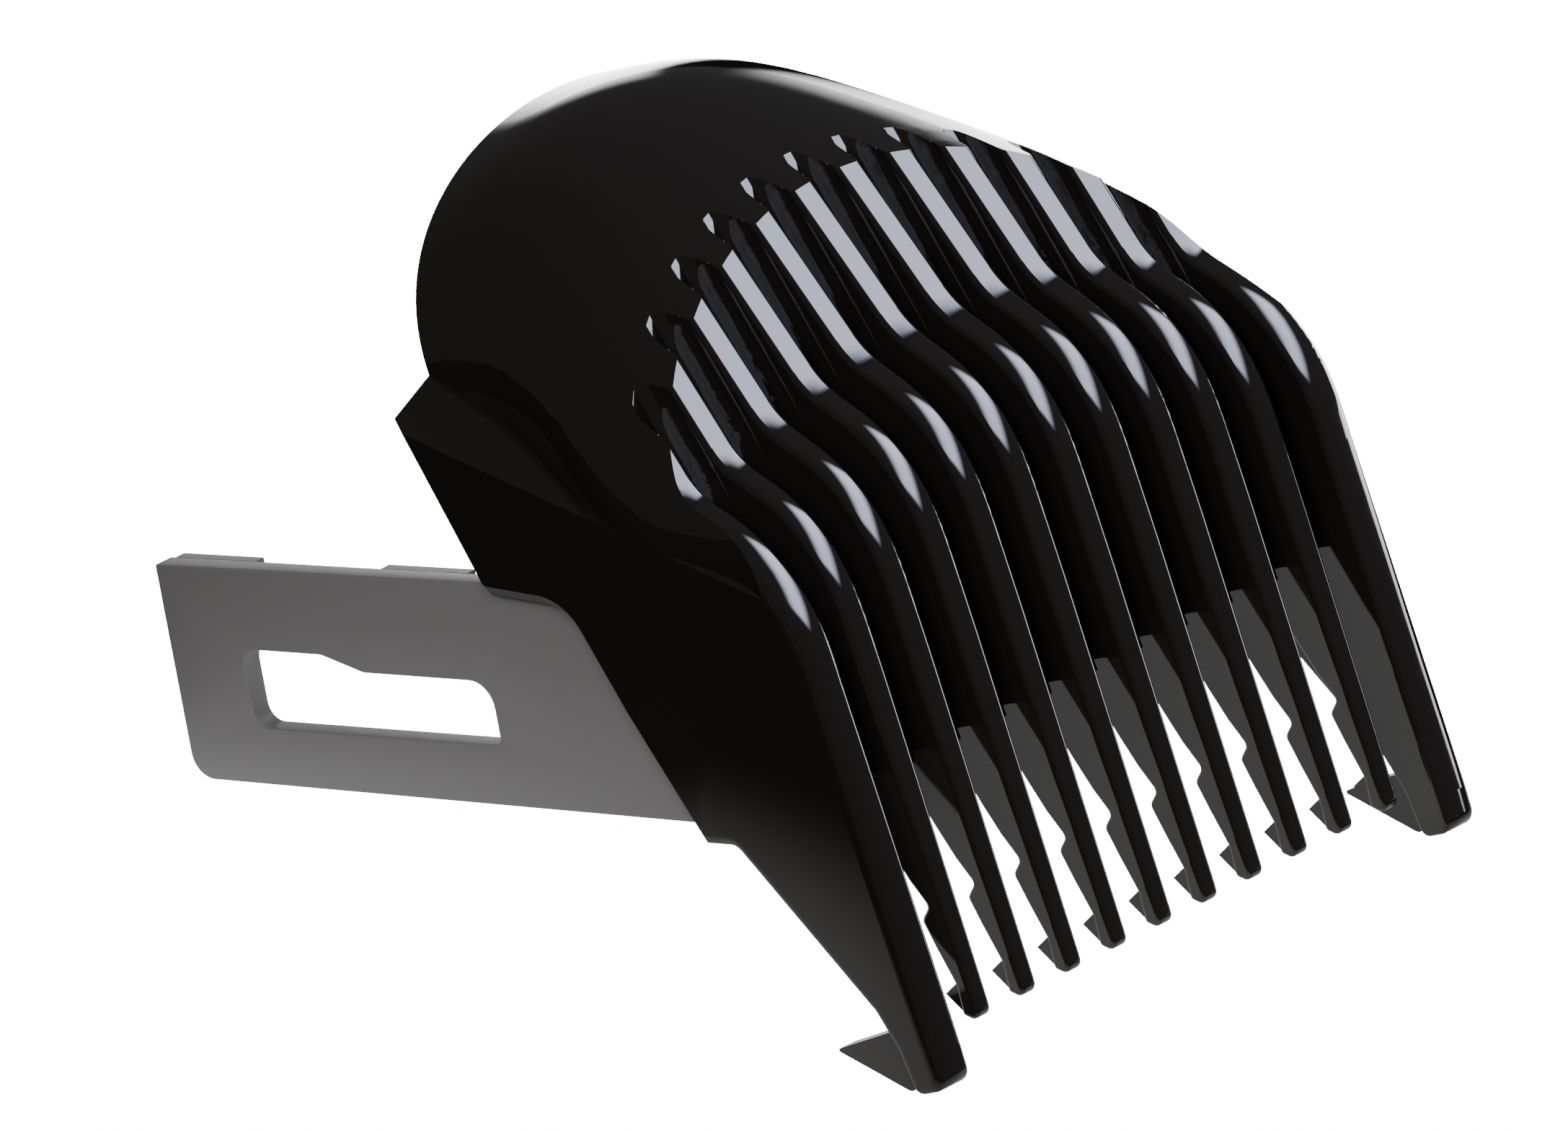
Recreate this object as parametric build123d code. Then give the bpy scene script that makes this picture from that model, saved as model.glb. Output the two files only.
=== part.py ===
from build123d import *
import math
import os

# Clip-on guide comb of a hair clipper, in millimetres.
# It is drawn level first: X across the comb, +Y back along the arms, +Z up, with the tips of the
# inner teeth near the origin. It is then tilted to stand as it does on a table, on the points of
# its two end teeth and on the lower rear corners of its arms.

# teeth
inner_teeth = 10
pitch = 4.0
tooth_width = 1.9
tip_width = 1.25
taper_start = 20.0
front_round = 0.3
end_tooth_width = 2.75
spur_width = 0.7
front_slope = 0.18
front_offset = -0.6
end_front_offset = -1.2
end_front_round = 0.6

# S-shaped bend of the tooth fronts, and how much lower it sits towards the sides
bend_start = (3.75, 23.9)
bend_points = [(4.4, 27.2), (6.1, 31.0), (9.0, 33.75), (12.2, 36.35)]
bend_drop = 2.6
bend_drop_at = 18.0
end_bend_drop = 3.1
facet_top = (18.9, 46.2)

# groove floor, which is also the front of the hood, and the lower edge of the hood
floor_top = (21.1, 47.4)
floor_bend = (13.2, 32.0)
floor_middle = (8.9, 23.5)
web_bottom = (5.9, 14.2)
wall = 1.8

# a groove's section, as (half width, distance in front of its floor), narrow below and wide above
groove_section = [(0.3, 0.0), (0.62, 0.22), (0.88, 0.75), (1.05, 1.5)]
groove_depth = 1.5
groove_overrun = 2.0

# lower half of a tooth: tip round first, then up its back to the hood, each corner with its radius
tip_front_z = 1.2
tooth_back = [
    ((-0.55, 0.12), 0.5),
    ((0.75, 0.6), 0.25),
    ((0.85, 2.4), 0.4),
    ((1.8, 4.5), 1.5),
    ((2.5, 6.2), 0.45),
    ((1.8, 7.05), 0.35),
    ((2.85, 8.5), 0.9),
    ((3.95, 10.4), 2.0),
]
spur_points = [(0.6, 2.6), (0.84, 2.55), (1.95, 1.75), (0.8, 0.7), (0.5, 0.7)]

# dome: stations back from the tooth tips, as (place, crown height, rise of the arch)
dome_stations = [
    (-4.0, 34.6, 10.0),
    (5.0, 38.4, 11.4),
    (13.0, 41.8, 12.6),
    (17.0, 43.5, 12.9),
    (21.0, 45.2, 13.0),
    (25.0, 46.8, 13.0),
    (29.0, 48.0, 13.2),
    (33.0, 48.3, 13.7),
    (38.0, 47.6, 14.4),
]
dome_floor = -6.0

# how far the dome draws in from the cheeks, and between which places along it
neck_depth = 4.4
neck_start = 14.0
neck_end = 30.0

# ledge beside the dome, and the sloping rear rim
shoulder_rear = (31.4, 35.5)
shoulder_climb = 0.336
shoulder_lean = 0.26
shoulder_run = 12.0

# rear outline of a cheek: from the rim down to the step below the arm, then down to the tip of
# its end tooth, each corner with its radius
rim_lower = (26.9, 25.7)
cheek_lip = (20.9, 25.2)
cheek_waist = (17.8, 19.1)
cheek_step = (13.6, 11.75)
rim_rounds = [1.2, 2.8, 8.0]
cheek_tip = [
    ((10.9, 11.75), 1.0),
    ((2.6, 2.4), 0.8),
    ((1.4, 0.2), 1.5),
    ((0.6, -2.5), 0.6),
    ((-1.5, -2.1), 0.8),
]
cheek_bevel = 0.8
pocket_depth = 0.9
pocket_margin = 2.4

# hooks behind the end teeth, each drawn round three circles
hook_heel = (1.45, -1.9)
hook_heel_round = 0.5
hook_point = (6.3, -0.27)
hook_point_round = 0.12
hook_neck = (1.9, 0.75)
hook_neck_round = 0.4
hook_width = 1.3
hook_inset = 0.75

# arms
arm_setback = 1.2
arm_thickness = 1.4
arm_rear = 52.9
arm_middle = 35.0
arm_top = 26.1
arm_bottom = 12.85
arm_taper = 0.011
arm_corner = 1.5
arm_top_corner = 0.4
slot_front = 28.5
slot_rear = 47.4
slot_bottom = 16.4
slot_high = 21.1
slot_low = 20.2
slot_high_front = 41.3
slot_low_rear = 38.2
slot_rounds = [0.5, 1.1, 1.0, 1.5, 1.5, 1.6]
catch_length = 6.6
catch_height = 3.2
catch_depth = 0.7
guide_front = 30.0
guide_length = 6.6
guide_height = 2.0

# spring roots of the arms: a round nose in a groove, along the sloping hinge line
hinge_low = (17.9, 12.85)
hinge_high = (23.7, 24.6)
hinge_gap = 0.08
cheek_gap = 0.4

# worked-out places
cheek_inner = inner_teeth / 2 * pitch + pitch / 2 - tooth_width / 2
half_width = cheek_inner + end_tooth_width
arm_outer = half_width - arm_setback
arm_inner = arm_outer - arm_thickness
arm_centre = arm_outer - arm_thickness / 2
roof = floor_top[1] + 6
far_back = 60


def across(face, low, high):
    # a flat YZ face pushed out across the comb, from X = low to X = high
    return Pos(low, 0, 0) * extrude(face, amount=high - low)


def side_face(edges):
    return Plane.YZ * make_face(edges)


def side_outline(points):
    return side_face(Polyline(*points, close=True))


def standing(place):
    # an upright plane across the comb, at a place along it
    return Plane(origin=(0, place, 0), x_dir=(1, 0, 0), z_dir=(0, -1, 0))


def places(corners):
    return [place for place, _ in corners]


def rounds(corners):
    return [radius for _, radius in corners]


def on_line(start, end, z):
    # the Y of a sloping line at height z
    return start[0] + (end[0] - start[0]) * (z - start[1]) / (end[1] - start[1])


def rim_y(z):
    return on_line(rim_lower, shoulder_rear, z)


def hinge_y(z):
    return on_line(hinge_low, hinge_high, z)


def front_edges(low_z, drop, offset):
    # the front of a tooth: straight, then the S bend, then the flat facet up to the dome
    back = -front_slope * drop
    proud = offset - front_offset
    start = (bend_start[0] + back + proud, bend_start[1] - drop)
    bend = []
    for step, (y, z) in enumerate(bend_points):
        bend.append((y + back + proud * max(0, 1 - 0.65 * step), z - drop))
    rise = (facet_top[0] - bend[-1][0], facet_top[1] - bend[-1][1])
    return [
        Line((offset + front_slope * low_z, low_z), start),
        Spline(start, *bend, tangents=[(front_slope, 1), rise]),
        Line(bend[-1], facet_top),
    ]


def floor_edges(set_back=0):
    # the groove floor from top to bottom, or the same line moved back by a wall
    top, bend, middle, bottom = [(y + set_back, z) for y, z in (floor_top, floor_bend, floor_middle, web_bottom)]
    slope = (bend[0] - top[0], bend[1] - top[1])
    return [Line(top, bend), Spline(bend, middle, bottom, tangents=[slope, (-0.22, -1)])]


def neck(place):
    # how far the dome has drawn in from the cheeks at a place along it
    run = min(1, max(0, (place - neck_start) / (neck_end - neck_start)))
    return neck_depth * run * run * (3 - 2 * run)


def groove_cutter():
    # what is cut out between two teeth: the groove section swept down the groove floor
    line, curve = floor_edges()
    below = curve @ 1 + (curve % 1) * groove_overrun
    path = Plane.YZ * Curve([line, curve, Line(curve @ 1, below)])
    start = Plane(origin=path @ 0, x_dir=(1, 0, 0), z_dir=path % 0)
    right = list(groove_section)
    left = [(-half, out) for half, out in reversed(groove_section)]
    edge = groove_section[-1][0]
    high = groove_depth + groove_overrun
    lid = Polyline(right[-1], (edge, high), (-edge, high), left[0])
    section = start * make_face([Spline(*right), lid, Spline(*left), Line(left[-1], right[0])])
    return sweep(section, path=path)


def arch(place, half, crown, rise):
    spring = crown - rise
    arc = EllipticalCenterArc((0, spring), half, rise, 0, arc_size=180)
    sides = Polyline((-half, spring), (-half, dome_floor), (half, dome_floor), (half, spring))
    return standing(place) * make_face([arc, sides])


def dome(inset):
    sections = []
    for place, crown, rise in dome_stations:
        sections.append(arch(place, half_width - neck(place) - inset, crown - inset, rise - inset / 2))
    return loft(sections)


def shoulder(half, inset):
    # a ledge beside the dome that climbs to the rear and leans in towards the crown
    sections = []
    for place in (dome_floor, far_back):
        low = shoulder_rear[1] + shoulder_climb * (place - shoulder_rear[0]) - inset
        high = low + shoulder_lean * shoulder_run
        right = [(half, dome_floor - 1), (half, low), (half - shoulder_run, high)]
        left = [(shoulder_run - half, high), (-half, low), (-half, dome_floor - 1)]
        sections.append(standing(place) * make_face(Polyline(*right, *left, close=True)))
    return loft(sections, ruled=True)


def edges_along(solid, outline, across_at):
    # the edges of a solid that follow an outline, at a place across the comb
    found = []
    for edge in solid.edges():
        middle = edge.position_at(0.5)
        away = min(Vertex(middle.Y, middle.Z, 0).distance_to(part) for part in outline)
        if away < 0.02 and abs(middle.X - across_at) < tooth_width / 4:
            found.append(edge)
    return found


def hood_outside():
    return dome(0) + shoulder(half_width + 0.5, 0)


def behind(set_back):
    # all the room behind the groove floor, or behind the hood's inner face
    bottom = (web_bottom[0] + set_back, web_bottom[1])
    rest = Polyline(bottom, (far_back, bottom[1]), (far_back, roof), (floor_top[0] + set_back, roof))
    top = Line((floor_top[0] + set_back, roof), (floor_top[0] + set_back, floor_top[1]))
    return across(side_face([top, *floor_edges(set_back), rest]), -cheek_inner, cheek_inner)


def hood_shell(outside):
    # the dome and the wall behind the teeth, open below and behind
    inside = (dome(wall) + shoulder(cheek_inner, wall)) & behind(wall)
    low = web_bottom[1] - 1
    rear = [(rim_y(low), low), (rim_y(roof), roof), (far_back, roof), (far_back, low)]
    shell = (outside & behind(-groove_depth)) - inside - across(side_outline(rear), -half_width, half_width)
    cutter = groove_cutter()
    for number in range(inner_teeth + 1):
        shell = shell - Pos((number - inner_teeth / 2) * pitch, 0, 0) * cutter
    return shell


def cheek(outside):
    # the right-hand side plate, which ends in a thick end tooth
    toe = (end_front_offset, 0)
    rim_top = (rim_y(roof), roof)
    rim = FilletPolyline(rim_top, rim_lower, cheek_lip, cheek_waist, cheek_step, radius=rim_rounds)
    tip = FilletPolyline(cheek_step, *places(cheek_tip), toe, radius=rounds(cheek_tip))
    top = Polyline(facet_top, (facet_top[0], roof), rim_top)
    front = front_edges(toe[1], end_bend_drop, end_front_offset)
    plate = across(side_face([*front, top, rim, tip]), cheek_inner, half_width)
    edges = [edge for edge in plate.edges() if edge.center().X > half_width - 0.01 and bevelled(edge.center())]
    plate = chamfer(edges, cheek_bevel)
    plate = fillet(edges_along(plate, front, cheek_inner), front_round)
    plate = fillet(edges_along(plate, front, half_width), end_front_round)
    return plate & outside


def cheek_pocket():
    # the hollow in the inner face of the right-hand cheek
    pocket = side_outline([
        (web_bottom[0] + wall + pocket_margin, web_bottom[1] + pocket_margin),
        (cheek_waist[0] - pocket_margin, cheek_waist[1]),
        (cheek_lip[0] - pocket_margin, cheek_lip[1] + pocket_margin),
        (rim_lower[0] - pocket_margin, rim_lower[1] + pocket_margin),
        (floor_bend[0] + wall + pocket_margin, floor_bend[1] - pocket_margin),
        (floor_middle[0] + wall + pocket_margin, floor_middle[1]),
    ])
    return across(pocket, cheek_inner, cheek_inner + pocket_depth)


def bevelled(place):
    # the rear edge of a cheek, from the rim down to the little step under the arm
    behind_step = place.Y > on_line(cheek_step, cheek_waist, place.Z) - 0.5
    return behind_step and cheek_step[1] < place.Z and place.Y > cheek_step[0]


def hook(side_plate):
    circles = []
    for centre, radius in ((hook_heel, hook_heel_round), (hook_point, hook_point_round), (hook_neck, hook_neck_round)):
        circles.append(Edge.make_circle(radius, Plane(origin=(*centre, 0))))
    outer = half_width - hook_inset
    return across(Plane.YZ * make_hull(circles), outer - hook_width, outer) - side_plate


def tooth(place, dome_shape):
    # one inner tooth, from its tip to where it runs out into the dome
    drop = bend_drop * (place / bend_drop_at) ** 2
    tip = (front_offset + front_slope * tip_front_z, tip_front_z)
    back = FilletPolyline(tip, *places(tooth_back), web_bottom, radius=rounds(tooth_back))
    front = front_edges(tip_front_z, drop, front_offset)
    face = side_face([*front, Line(facet_top, floor_top), *floor_edges(), back])
    blade = across(face, -tooth_width / 2, tooth_width / 2)
    taper = Plane.XZ * make_face(
        Polyline(
            (tip_width / 2, 0),
            (tooth_width / 2, taper_start),
            (tooth_width / 2, roof),
            (-tooth_width / 2, roof),
            (-tooth_width / 2, taper_start),
            (-tip_width / 2, 0),
            close=True,
        )
    )
    blade = blade & extrude(taper, amount=far_back, both=True)
    left = edges_along(blade, front, -tooth_width / 2)
    right = edges_along(blade, front, tooth_width / 2)
    blade = fillet(left + right, front_round)
    blade = blade + across(side_outline(spur_points), -spur_width / 2, spur_width / 2)
    return ((Pos(place, 0, 0) * blade) & dome_shape) - behind(-groove_depth)


def arm_top_z(y):
    return arm_top - arm_taper * (y - arm_middle)


def arm_bottom_z(y):
    return arm_bottom + arm_taper * (y - arm_middle)


def hinge_rod(radius):
    # a rod along the hinge line, longer than the arm is high
    low = Vector(arm_centre, *hinge_low)
    high = Vector(arm_centre, *hinge_high)
    along = high - low
    reach = along.normalized() * arm_thickness * 3
    rod = Solid.make_cylinder(radius, along.length + 2 * reach.length, Plane(origin=low - reach, z_dir=along))
    return Part() + rod


def root_top():
    return cheek_lip[1] - cheek_gap


def arm():
    # the springy right-hand arm, with its rounded nose at the hinge line and its window
    low = arm_bottom_z(hinge_low[0])
    corner = (rim_lower[0] + cheek_gap, root_top())
    body = FilletPolyline(
        (hinge_y(low), low),
        (arm_rear, arm_bottom_z(arm_rear)),
        (arm_rear, arm_top_z(arm_rear)),
        (corner[0], arm_top_z(corner[0])),
        corner,
        (hinge_y(corner[1]), corner[1]),
        radius=[arm_corner, arm_top_corner, arm_top_corner, arm_top_corner],
    )
    plate = across(side_face([body, Line(body @ 1, body @ 0)]), arm_inner, arm_outer)
    nose_room = side_outline([(0, low), (far_back, low), (far_back, corner[1]), (0, corner[1])])
    nose = hinge_rod(arm_thickness / 2) & across(nose_room, arm_inner, arm_outer)
    window = FilletPolyline(
        (slot_front, slot_bottom),
        (slot_rear, slot_bottom),
        (slot_rear, slot_high),
        (slot_high_front, slot_high),
        (slot_low_rear, slot_low),
        (slot_front, slot_low),
        radius=slot_rounds,
        close=True,
    )
    return plate + nose - across(side_face(window), arm_inner - 1, arm_outer + 1)


def arm_root(side_plate):
    # the fixed stub that the arm springs from, between the cheek and the hinge line
    low = arm_bottom_z(hinge_low[0])
    high = rim_lower[1]
    front = cheek_step[0] - 2
    stub = side_outline([(front, low), (hinge_y(low), low), (hinge_y(high), high), (front, high)])
    return across(stub, arm_inner, arm_outer) - side_plate - hinge_rod(arm_thickness / 2 + hinge_gap)


def arm_block(front, rear, height):
    # a raised block along the inner top edge of the arm
    face = side_outline([
        (front, arm_top_z(front) - height),
        (rear, arm_top_z(rear) - height),
        (rear, arm_top_z(rear)),
        (front, arm_top_z(front)),
    ])
    return across(face, arm_inner - catch_depth, arm_inner)


def rest_tilt():
    # the angle at which a table touches both the hook heels and the arms' rounded rear corners
    corner = (arm_rear - arm_corner, arm_bottom_z(arm_rear) + arm_corner)
    run = corner[0] - hook_heel[0]
    rise = corner[1] - hook_heel[1]
    lean = math.asin((arm_corner - hook_heel_round) / math.hypot(run, rise))
    return math.degrees(math.atan2(rise, run) - lean)


def build():
    # every piece, level, by name
    outside = hood_outside()
    side_plate = cheek(outside)
    pieces = {"hood_shell": hood_shell(outside)}
    for number in range(inner_teeth):
        place = (number - (inner_teeth - 1) / 2) * pitch
        pieces[f"tooth_{number + 1:02d}"] = tooth(place, outside)
    rights = {
        "cheek": side_plate - cheek_pocket(),
        "hook": hook(side_plate),
        "arm_root": arm_root(side_plate),
        "arm": arm(),
        "arm_catch": arm_block(arm_rear - catch_length, arm_rear - arm_top_corner, catch_height),
        "arm_guide": arm_block(guide_front, guide_front + guide_length, guide_height),
    }
    for name, piece in rights.items():
        pieces[name + "_right"] = piece
        pieces[name + "_left"] = mirror(piece, Plane.YZ)
    return pieces


def stand(pieces):
    # tilt the comb onto its table and put the origin under the middle of its box
    tilted = {name: Rot(-rest_tilt(), 0, 0) * piece for name, piece in pieces.items()}
    boxes = [piece.bounding_box() for piece in tilted.values()]
    low = min(box.min.Z for box in boxes)
    front = min(box.min.Y for box in boxes)
    rear = max(box.max.Y for box in boxes)
    return {name: Pos(0, -(front + rear) / 2, -low) * piece for name, piece in tilted.items()}


os.makedirs("parts", exist_ok=True)
for name, piece in stand(build()).items():
    export_step(piece, f"parts/{name}.step")
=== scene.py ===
import math
import bpy
import bmesh
from mathutils import Euler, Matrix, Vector


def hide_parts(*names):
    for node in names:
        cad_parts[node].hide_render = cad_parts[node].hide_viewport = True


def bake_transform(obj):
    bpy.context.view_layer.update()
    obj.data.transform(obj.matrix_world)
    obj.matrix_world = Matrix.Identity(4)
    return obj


# Clip-on guide comb of a hair clipper: glossy black hood and teeth, satin grey side arms.

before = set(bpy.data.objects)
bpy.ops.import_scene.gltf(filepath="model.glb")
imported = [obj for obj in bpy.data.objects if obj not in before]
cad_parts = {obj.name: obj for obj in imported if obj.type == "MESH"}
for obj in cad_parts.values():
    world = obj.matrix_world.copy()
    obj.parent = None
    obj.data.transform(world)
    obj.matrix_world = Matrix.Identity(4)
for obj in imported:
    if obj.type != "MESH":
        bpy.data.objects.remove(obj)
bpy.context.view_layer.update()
mm = 0.001
print("frame loaded")


def linearColour(code):
    # sRGB hex to the linear values that a shader wants
    parts = [int(code[i:i + 2], 16) / 255 for i in (1, 3, 5)]
    straight = [c / 12.92 if c <= 0.04045 else ((c + 0.055) / 1.055) ** 2.4 for c in parts]
    return (*straight, 1)


def addNode(tree, kind, settings=None, links=None, **values):
    # one node, with its own settings, its input values and the sockets that feed it
    node = tree.nodes.new(kind)
    for name, value in (settings or {}).items():
        setattr(node, name, value)
    for name, value in values.items():
        node.inputs[name.replace("_", " ")].default_value = value
    for name, source in (links or {}).items():
        tree.links.new(source, node.inputs[name])
    return node


def ramp(tree, source, low, high, atLow=0.0, atHigh=1.0):
    # eases from one value to another while the source goes from low to high
    node = addNode(tree, "ShaderNodeMapRange", {"interpolation_type": "SMOOTHSTEP"}, {"Value": source},
                   From_Min=low, From_Max=high, To_Min=atLow, To_Max=atHigh)
    return node.outputs["Result"]


def combine(tree, operation, one, two):
    return addNode(tree, "ShaderNodeMath", {"operation": operation}, {0: one, 1: two}).outputs[0]


def along(tree, source, direction):
    # how far a vector reaches in one direction
    node = addNode(tree, "ShaderNodeVectorMath", {"operation": "DOT_PRODUCT"}, {0: source})
    node.inputs[1].default_value = direction
    return node.outputs["Value"]


def newMaterial(name):
    material = bpy.data.materials.new(name)
    material.use_nodes = True
    tree = material.node_tree
    tree.nodes.clear()
    return material, tree


glossAbs = {"colour": "#1a1715", "ior": 1.52, "roughness": 0.055, "flowSize": 9.0, "flowHeight": 0.02,
            "flowStrength": 0.25, "handlingSize": 2.5, "polishRange": (0.8, 1.35)}
sparkAbs = {"colour": "#747373", "ior": 1.5, "roughness": 0.42, "grain": 0.18, "grainHeight": 0.012}


def glossyMouldedAbs(name, crowned):
    # glossy ABS from a polished mould: near-black, mirror-like, with the faint waviness of a thin wall
    material, tree = newMaterial(name)
    place = addNode(tree, "ShaderNodeTexCoord")
    flow = addNode(tree, "ShaderNodeTexNoise", links={"Vector": place.outputs["Object"]},
                   Scale=1 / (glossAbs["flowSize"] * mm), Detail=1.0, Roughness=0.4)
    wave = addNode(tree, "ShaderNodeBump", links={"Height": flow.outputs["Fac"]},
                   Strength=glossAbs["flowStrength"], Distance=glossAbs["flowHeight"] * mm)
    if crowned:
        # each tooth's front is a little rounded across, as it has to leave its mould
        parts = addNode(tree, "ShaderNodeSeparateXYZ", links={"Vector": place.outputs["Object"]})
        shifted = addNode(tree, "ShaderNodeMath", {"operation": "ADD"}, {0: parts.outputs["X"]})
        shifted.inputs[1].default_value = toothCrown["pitch"] / 2 * mm
        off = addNode(tree, "ShaderNodeMath", {"operation": "WRAP"}, {0: shifted.outputs[0]})
        off.inputs[1].default_value = toothCrown["pitch"] / 2 * mm
        off.inputs[2].default_value = -toothCrown["pitch"] / 2 * mm
        square = combine(tree, "MULTIPLY", off.outputs[0], off.outputs[0])
        share = ramp(tree, parts.outputs["Y"], toothCrown["fullUpTo"] * mm, toothCrown["goneBy"] * mm,
                     -1 / (2 * toothCrown["radius"] * mm), 0.0)
        crown = combine(tree, "MULTIPLY", square, share)
        wave = addNode(tree, "ShaderNodeBump", links={"Height": crown, "Normal": wave.outputs["Normal"]},
                       Strength=1.0, Distance=1.0)
    handling = addNode(tree, "ShaderNodeTexNoise", links={"Vector": place.outputs["Object"]},
                       Scale=1 / (glossAbs["handlingSize"] * mm), Detail=4.0, Roughness=0.6)
    finest, coarsest = [glossAbs["roughness"] * share for share in glossAbs["polishRange"]]
    polish = addNode(tree, "ShaderNodeMapRange", links={"Value": handling.outputs["Fac"]},
                     From_Min=0.35, From_Max=0.75, To_Min=finest, To_Max=coarsest)
    plastic = addNode(tree, "ShaderNodeBsdfPrincipled",
                      links={"Normal": wave.outputs["Normal"], "Roughness": polish.outputs["Result"]},
                      Base_Color=linearColour(glossAbs["colour"]), IOR=glossAbs["ior"])
    addNode(tree, "ShaderNodeOutputMaterial", links={"Surface": plastic.outputs["BSDF"]})
    return material


def sparkTexturedAbs():
    # spark-textured ABS: dark grey, satin, with a grain just too fine to feel
    material, tree = newMaterial("sparkTexturedAbs")
    place = addNode(tree, "ShaderNodeTexCoord")
    pits = addNode(tree, "ShaderNodeTexNoise", links={"Vector": place.outputs["Object"]},
                   Scale=1 / (sparkAbs["grain"] * mm), Detail=2.0, Roughness=0.6)
    grain = addNode(tree, "ShaderNodeBump", links={"Height": pits.outputs["Fac"]},
                    Strength=0.5, Distance=sparkAbs["grainHeight"] * mm)
    plastic = addNode(tree, "ShaderNodeBsdfPrincipled", links={"Normal": grain.outputs["Normal"]},
                      Base_Color=linearColour(sparkAbs["colour"]), IOR=sparkAbs["ior"],
                      Roughness=sparkAbs["roughness"])
    addNode(tree, "ShaderNodeOutputMaterial", links={"Surface": plastic.outputs["BSDF"]})
    return material


toothCrown = {"pitch": 4.0, "radius": 4.2, "fullUpTo": -12.0, "goneBy": -6.0}   # mm
hoodPlastic = glossyMouldedAbs("glossyMouldedAbs", False)
toothPlastic = glossyMouldedAbs("glossyToothAbs", True)
armPlastic = sparkTexturedAbs()
for name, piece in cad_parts.items():
    piece.data.materials.clear()
    if name.startswith("arm_") and not name.startswith("arm_root"):
        piece.data.materials.append(armPlastic)
    elif name.startswith(("tooth", "cheek")):
        piece.data.materials.append(toothPlastic)
    else:
        piece.data.materials.append(hoodPlastic)
print("materials made")

# y runs back along the arms and z up, before the comb is tilted onto the table
stand = {"tilt": 17.13544, "back": -28.14110, "up": 2.75852}


def onTable(x, y, z):
    # a place in the level drawing, in mm, as it stands on the table, in metres
    lean = math.radians(-stand["tilt"])
    away = y * math.cos(lean) - z * math.sin(lean) + stand["back"]
    high = y * math.sin(lean) + z * math.cos(lean) + stand["up"]
    return Vector((x, away, high)) * mm


def addPiece(name, mesh, material):
    piece = bpy.data.objects.new(name, mesh)
    bpy.context.collection.objects.link(piece)
    mesh.materials.clear()
    mesh.materials.append(material)
    return piece


def roundedCorners(corners, steps=8):
    # corners as (y, z, radius), turned into points with true arcs
    points = []
    for index, (y, z, radius) in enumerate(corners):
        before = Vector(corners[index - 1][:2]) - Vector((y, z))
        after = Vector(corners[(index + 1) % len(corners)][:2]) - Vector((y, z))
        half = before.angle(after) / 2
        reach = radius / math.tan(half)
        inwards = (before.normalized() + after.normalized()).normalized()
        middle = Vector((y, z)) + inwards * (radius / math.sin(half))
        start = Vector((y, z)) + before.normalized() * reach - middle
        end = Vector((y, z)) + after.normalized() * reach - middle
        turn = start.angle_signed(end)
        for step in range(steps + 1):
            angle = -turn * step / steps
            points.append(middle + Vector((start.x * math.cos(angle) - start.y * math.sin(angle),
                                           start.x * math.sin(angle) + start.y * math.cos(angle))))
    return points


sideArm = {
    "middle": 21.9,           # mm from the comb's middle to the middle of the arm's thickness
    "thickness": 1.4,
    "edgeRound": 0.08,
    # the moving part passes just under the cheek's lip, and only the fixed root lies inside the cheek
    "outline": [(13.4, 12.61, 0.3), (52.9, 13.05, 1.5), (52.9, 25.9, 0.12), (27.45, 26.18, 0.2),
                (27.2, 25.5, 0.5), (22.6, 25.14, 0.1), (22.2, 25.9, 0.1), (21.4, 25.9, 0.4), (13.4, 14.6, 0.3)],
    "window": [(28.5, 16.4, 0.5), (47.4, 16.4, 1.1), (47.4, 21.1, 1.0), (41.3, 21.1, 1.5), (38.2, 20.2, 1.5),
               (28.5, 20.2, 1.6)],
    "hinge": (0.0, -7.25, 9.764),
    "acrossHinge": (0.0, 0.72648, -0.68718),
    "bendLength": 1.6,
    "cuts": 9, "cutStep": 0.45, "cutMiddle": (20.8, 18.72), "cutAcross": (0.8967, -0.4427),
    "sharpAngle": 35.0,
}


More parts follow.
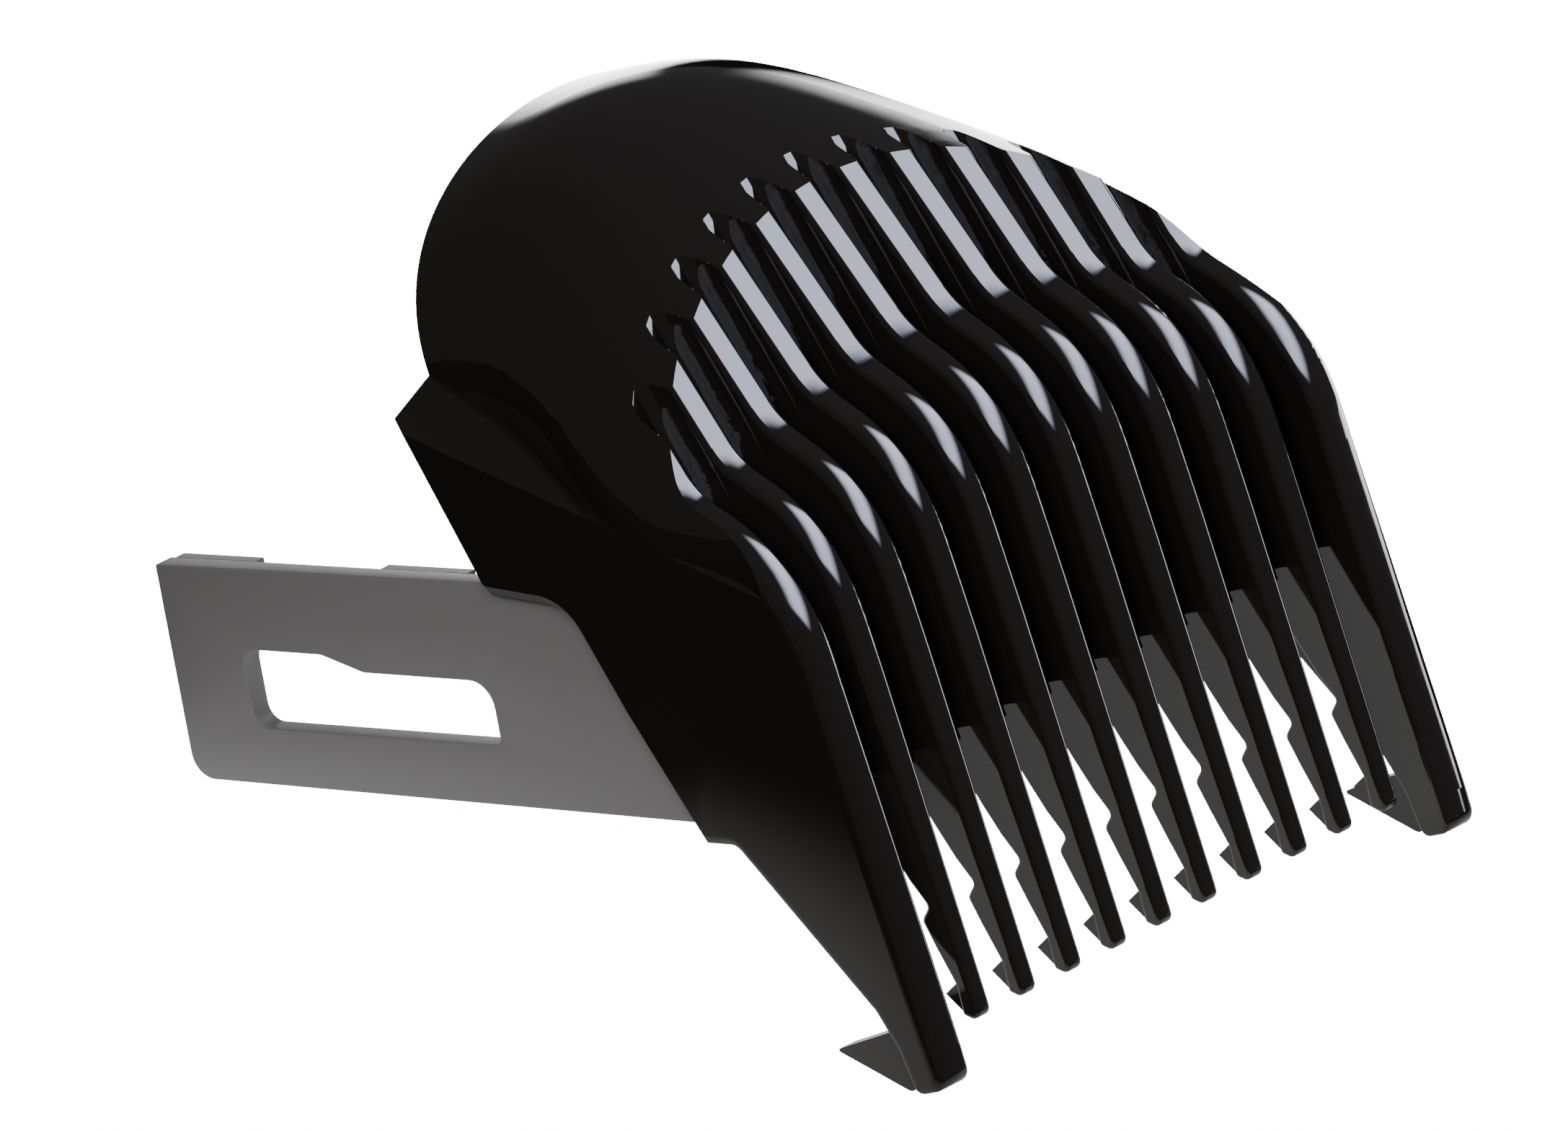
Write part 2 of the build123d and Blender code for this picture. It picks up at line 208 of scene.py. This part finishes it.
def flatBar(name, side):
    # one arm with its window, as a filled outline with rounded edges
    half = sideArm["thickness"] / 2
    curve = bpy.data.curves.new(name, "CURVE")
    curve.dimensions = "2D"
    curve.fill_mode = "BOTH"
    curve.extrude = half - sideArm["edgeRound"]
    curve.bevel_depth = sideArm["edgeRound"]
    curve.bevel_resolution = 3
    curve.offset = -sideArm["edgeRound"]
    for corners in (sideArm["outline"], sideArm["window"]):
        points = roundedCorners(corners)
        spline = curve.splines.new("POLY")
        spline.points.add(len(points) - 1)
        for target, point in zip(spline.points, points):
            target.co = (point.x, point.y, 0, 1)
        spline.use_cyclic_u = True
    shape = bpy.data.objects.new(name + "Outline", curve)
    bpy.context.collection.objects.link(shape)
    bpy.context.view_layer.update()
    mesh = bpy.data.meshes.new_from_object(shape.evaluated_get(bpy.context.evaluated_depsgraph_get()))
    bpy.data.objects.remove(shape)
    work = bmesh.new()
    work.from_mesh(mesh)
    bmesh.ops.remove_doubles(work, verts=work.verts, dist=0.0005)
    # more cuts across the root, so that it bends smoothly
    back, up = sideArm["cutMiddle"]
    for cut in range(sideArm["cuts"]):
        shift = (cut - sideArm["cuts"] // 2) * sideArm["cutStep"]
        bmesh.ops.bisect_plane(work, geom=work.verts[:] + work.edges[:] + work.faces[:],
                               plane_co=Vector((back + shift, up, 0)),
                               plane_no=Vector((*sideArm["cutAcross"], 0)))
    for vertex in work.verts:
        y, z, x = vertex.co
        vertex.co = onTable(side * sideArm["middle"] + x, y, z)
    bmesh.ops.recalc_face_normals(work, faces=work.faces[:])
    sharp = math.radians(sideArm["sharpAngle"])
    for face in work.faces:
        face.smooth = True
    for edge in work.edges:
        edge.smooth = len(edge.link_faces) == 2 and edge.calc_face_angle(0) < sharp
    work.to_mesh(mesh)
    work.free()
    return mesh


for side, word in ((-1, "left"), (1, "right")):
    bar = addPiece("armPlate_" + word, flatBar("armPlate_" + word, side), armPlastic)
    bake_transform(bar)
    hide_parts("arm_" + word, "arm_root_" + word)
print("arms made")

# Table, light and camera.
studio = {
    "paper": "#fafafa",
    "whiteLevel": 22.0,       # how bright the paper and the backdrop look to the camera
    "shadowKept": 0.25,       # how much of the real shading of the paper stays visible
    "paintedPoolRadius": 31.0,        # mm of paper round the comb that glows as a painted pool of light, unseen by the camera
    "fadeWidth": 18.0,
    "wallDirection": (0.69, 0.56, -0.45),
    "acrossView": (0.628, -0.778, 0),
    "alongView": (0.778, 0.628, 0),
    "wallLevel": 9.0,
    "roomLevel": 0.09,
    # the dark gap between the right and the left panel is a painted shadow of the comb, on the paper and on the
    # backdrop
    "rightPanelBesidePaintedShadow": (0.02, 0.14),
    "leftPanelBesidePaintedShadow": (-0.1, -0.04),
    "leftPanelOuter": (-0.3, -0.14),
    "paperBeyond": (60.0, 95.0),      # mm behind the comb where the far paper starts to be lit
    "wallEdge": (0.78, 0.985),
}
camera = {"place": (-1573.93, -1267.05, 1049.97), "turn": (62.8367, -2.7923, -49.6803), "lens": 918.387}


def whitePanelsAroundPaintedShadow(tree, sideways):
    # two white panels behind the comb; the dark gap between them is a painted shadow of the comb
    right = ramp(tree, sideways, *studio["rightPanelBesidePaintedShadow"])
    left = combine(tree, "MULTIPLY", ramp(tree, sideways, *studio["leftPanelBesidePaintedShadow"], 1.0, 0.0),
                   ramp(tree, sideways, *studio["leftPanelOuter"]))
    return combine(tree, "ADD", right, left)


def paperTable():
    # plain white paper: evenly bright all over to the camera; for what the gloss mirrors, a painted pool of
    # light round the comb, and far behind it two white panels with a painted shadow of the comb between them
    mesh = bpy.data.meshes.new("table")
    mesh.from_pydata([(-3, -3, 0), (3, -3, 0), (3, 3, 0), (-3, 3, 0)], [], [(0, 1, 2, 3)])
    table = bpy.data.objects.new("table", mesh)
    bpy.context.collection.objects.link(table)
    material, tree = newMaterial("whitePaper")
    paper = addNode(tree, "ShaderNodeBsdfDiffuse", Color=linearColour(studio["paper"]))
    bright = addNode(tree, "ShaderNodeEmission", Color=linearColour(studio["paper"]),
                     Strength=studio["whiteLevel"])
    seen = addNode(tree, "ShaderNodeMixShader", links={1: bright.outputs[0], 2: paper.outputs[0]},
                   Fac=studio["shadowKept"])
    place = addNode(tree, "ShaderNodeNewGeometry").outputs["Position"]
    reach = addNode(tree, "ShaderNodeVectorMath", {"operation": "LENGTH"}, {"Vector": place}).outputs["Value"]
    # painted pool of light: the paper glows round the comb and fades out further away
    paintedPoolEdge = studio["paintedPoolRadius"] * mm
    paintedPool = ramp(tree, reach, paintedPoolEdge, paintedPoolEdge + studio["fadeWidth"] * mm, 1.0, 0.0)
    away = along(tree, place, studio["alongView"])
    sideways = combine(tree, "DIVIDE", along(tree, place, studio["acrossView"]), away)
    near, far = [distance * mm for distance in studio["paperBeyond"]]
    beyond = ramp(tree, away, near, far, 0.0, studio["wallLevel"])
    # the far paper glows as the two panels, with a painted shadow of the comb between them
    wallsWithPaintedShadow = combine(tree, "MULTIPLY", whitePanelsAroundPaintedShadow(tree, sideways), beyond)
    total = combine(tree, "ADD", paintedPool, wallsWithPaintedShadow)
    mirrored = addNode(tree, "ShaderNodeEmission", {}, {"Strength": total},
                       Color=linearColour(studio["paper"]))
    ray = addNode(tree, "ShaderNodeLightPath")
    mixed = addNode(tree, "ShaderNodeMixShader", links={"Fac": ray.outputs["Is Camera Ray"],
                                                        1: mirrored.outputs[0], 2: seen.outputs[0]})
    addNode(tree, "ShaderNodeOutputMaterial", links={"Surface": mixed.outputs[0]})
    mesh.materials.append(material)


def softLight(name, place, aim, width, height, power, colour="#ffffff"):
    lamp = bpy.data.lights.new(name, "AREA")
    lamp.shape = "RECTANGLE"
    lamp.size = width
    lamp.size_y = height
    lamp.energy = power
    lamp.color = linearColour(colour)[:3]
    light = bpy.data.objects.new(name, lamp)
    light.location = place
    light.visible_camera = False
    light.rotation_euler = (Vector(aim) - Vector(place)).to_track_quat("-Z", "Y").to_euler()
    bpy.context.collection.objects.link(light)
    return light


def softEdgedBox(name, place, aim, width, height, level, colour):
    # a diffuser cloth, brightest in the middle and fading towards its edges, as one lit from behind does
    mesh = bpy.data.meshes.new(name)
    w, h = width / 2, height / 2
    mesh.from_pydata([(-w, -h, 0), (w, -h, 0), (w, h, 0), (-w, h, 0)], [], [(0, 1, 2, 3)])
    box = bpy.data.objects.new(name, mesh)
    box.location = place
    box.rotation_euler = (Vector(aim) - Vector(place)).to_track_quat("-Z", "Y").to_euler()
    bpy.context.collection.objects.link(box)
    box.visible_camera = False
    material, tree = newMaterial(name + "Cloth")
    where = addNode(tree, "ShaderNodeTexCoord")
    parts = addNode(tree, "ShaderNodeSeparateXYZ", links={"Vector": where.outputs["Object"]})
    sides = []
    for axis, half, flat in (("X", w, 0.7), ("Y", h, 0.22)):
        off = addNode(tree, "ShaderNodeMath", {"operation": "ABSOLUTE"}, {0: parts.outputs[axis]})
        sides.append(ramp(tree, off.outputs[0], half * flat, half, 1.0, 0.0))
    both = combine(tree, "MULTIPLY", *sides)
    power = addNode(tree, "ShaderNodeMath", {"operation": "MULTIPLY"}, {0: both})
    power.inputs[1].default_value = level
    glow = addNode(tree, "ShaderNodeEmission", links={"Strength": power.outputs[0]},
                   Color=linearColour(colour))
    addNode(tree, "ShaderNodeOutputMaterial", links={"Surface": glow.outputs[0]})
    mesh.materials.append(material)


def whiteBackdrop():
    # the world: white to the camera, and to the gloss a dim room with a white wall far behind the comb, split
    # by a painted shadow of the comb
    world = bpy.data.worlds.new("studio")
    bpy.context.scene.world = world
    world.use_nodes = True
    tree = world.node_tree
    tree.nodes.clear()
    white = addNode(tree, "ShaderNodeBackground", Color=linearColour(studio["paper"]),
                    Strength=studio["whiteLevel"])
    where = addNode(tree, "ShaderNodeTexCoord").outputs["Generated"]
    # painted shadow of the comb as the dark gap in the wall
    panelsWithPaintedShadow = whitePanelsAroundPaintedShadow(tree, along(tree, where, studio["acrossView"]))
    towards = ramp(tree, along(tree, where, studio["wallDirection"]), *studio["wallEdge"],
                   0.0, studio["wallLevel"])
    wallsWithPaintedShadow = combine(tree, "MULTIPLY", panelsWithPaintedShadow, towards)
    total = addNode(tree, "ShaderNodeMath", {"operation": "ADD"}, {0: wallsWithPaintedShadow})
    total.inputs[1].default_value = studio["roomLevel"]
    room = addNode(tree, "ShaderNodeBackground", links={"Strength": total.outputs[0]},
                   Color=linearColour(studio["paper"]))
    ray = addNode(tree, "ShaderNodeLightPath")
    mixed = addNode(tree, "ShaderNodeMixShader", links={"Fac": ray.outputs["Is Camera Ray"],
                                                        1: room.outputs[0], 2: white.outputs[0]})
    addNode(tree, "ShaderNodeOutputWorld", links={"Surface": mixed.outputs[0]})


paperTable()
whiteBackdrop()
comb = (0, -0.01, 0.024)
softEdgedBox("overheadSoftbox", (0.417, -0.19, 0.41), comb, 0.55, 0.30, 15, "#dfe6ff")
fill = softLight("leftFill", (-0.45, -0.2, 0.4), comb, 0.3, 0.3, 3.0, "#fffdfc")
fill.visible_glossy = False

eye = bpy.data.cameras.new("eye")
eye.sensor_width = 36
eye.lens = camera["lens"]
eye.clip_end = 10
eyeObject = bpy.data.objects.new("eye", eye)
eyeObject.location = [c * mm for c in camera["place"]]
eyeObject.rotation_euler = Euler([math.radians(a) for a in camera["turn"]])
bpy.context.collection.objects.link(eyeObject)
bpy.context.scene.camera = eyeObject
print("camera and lights set")
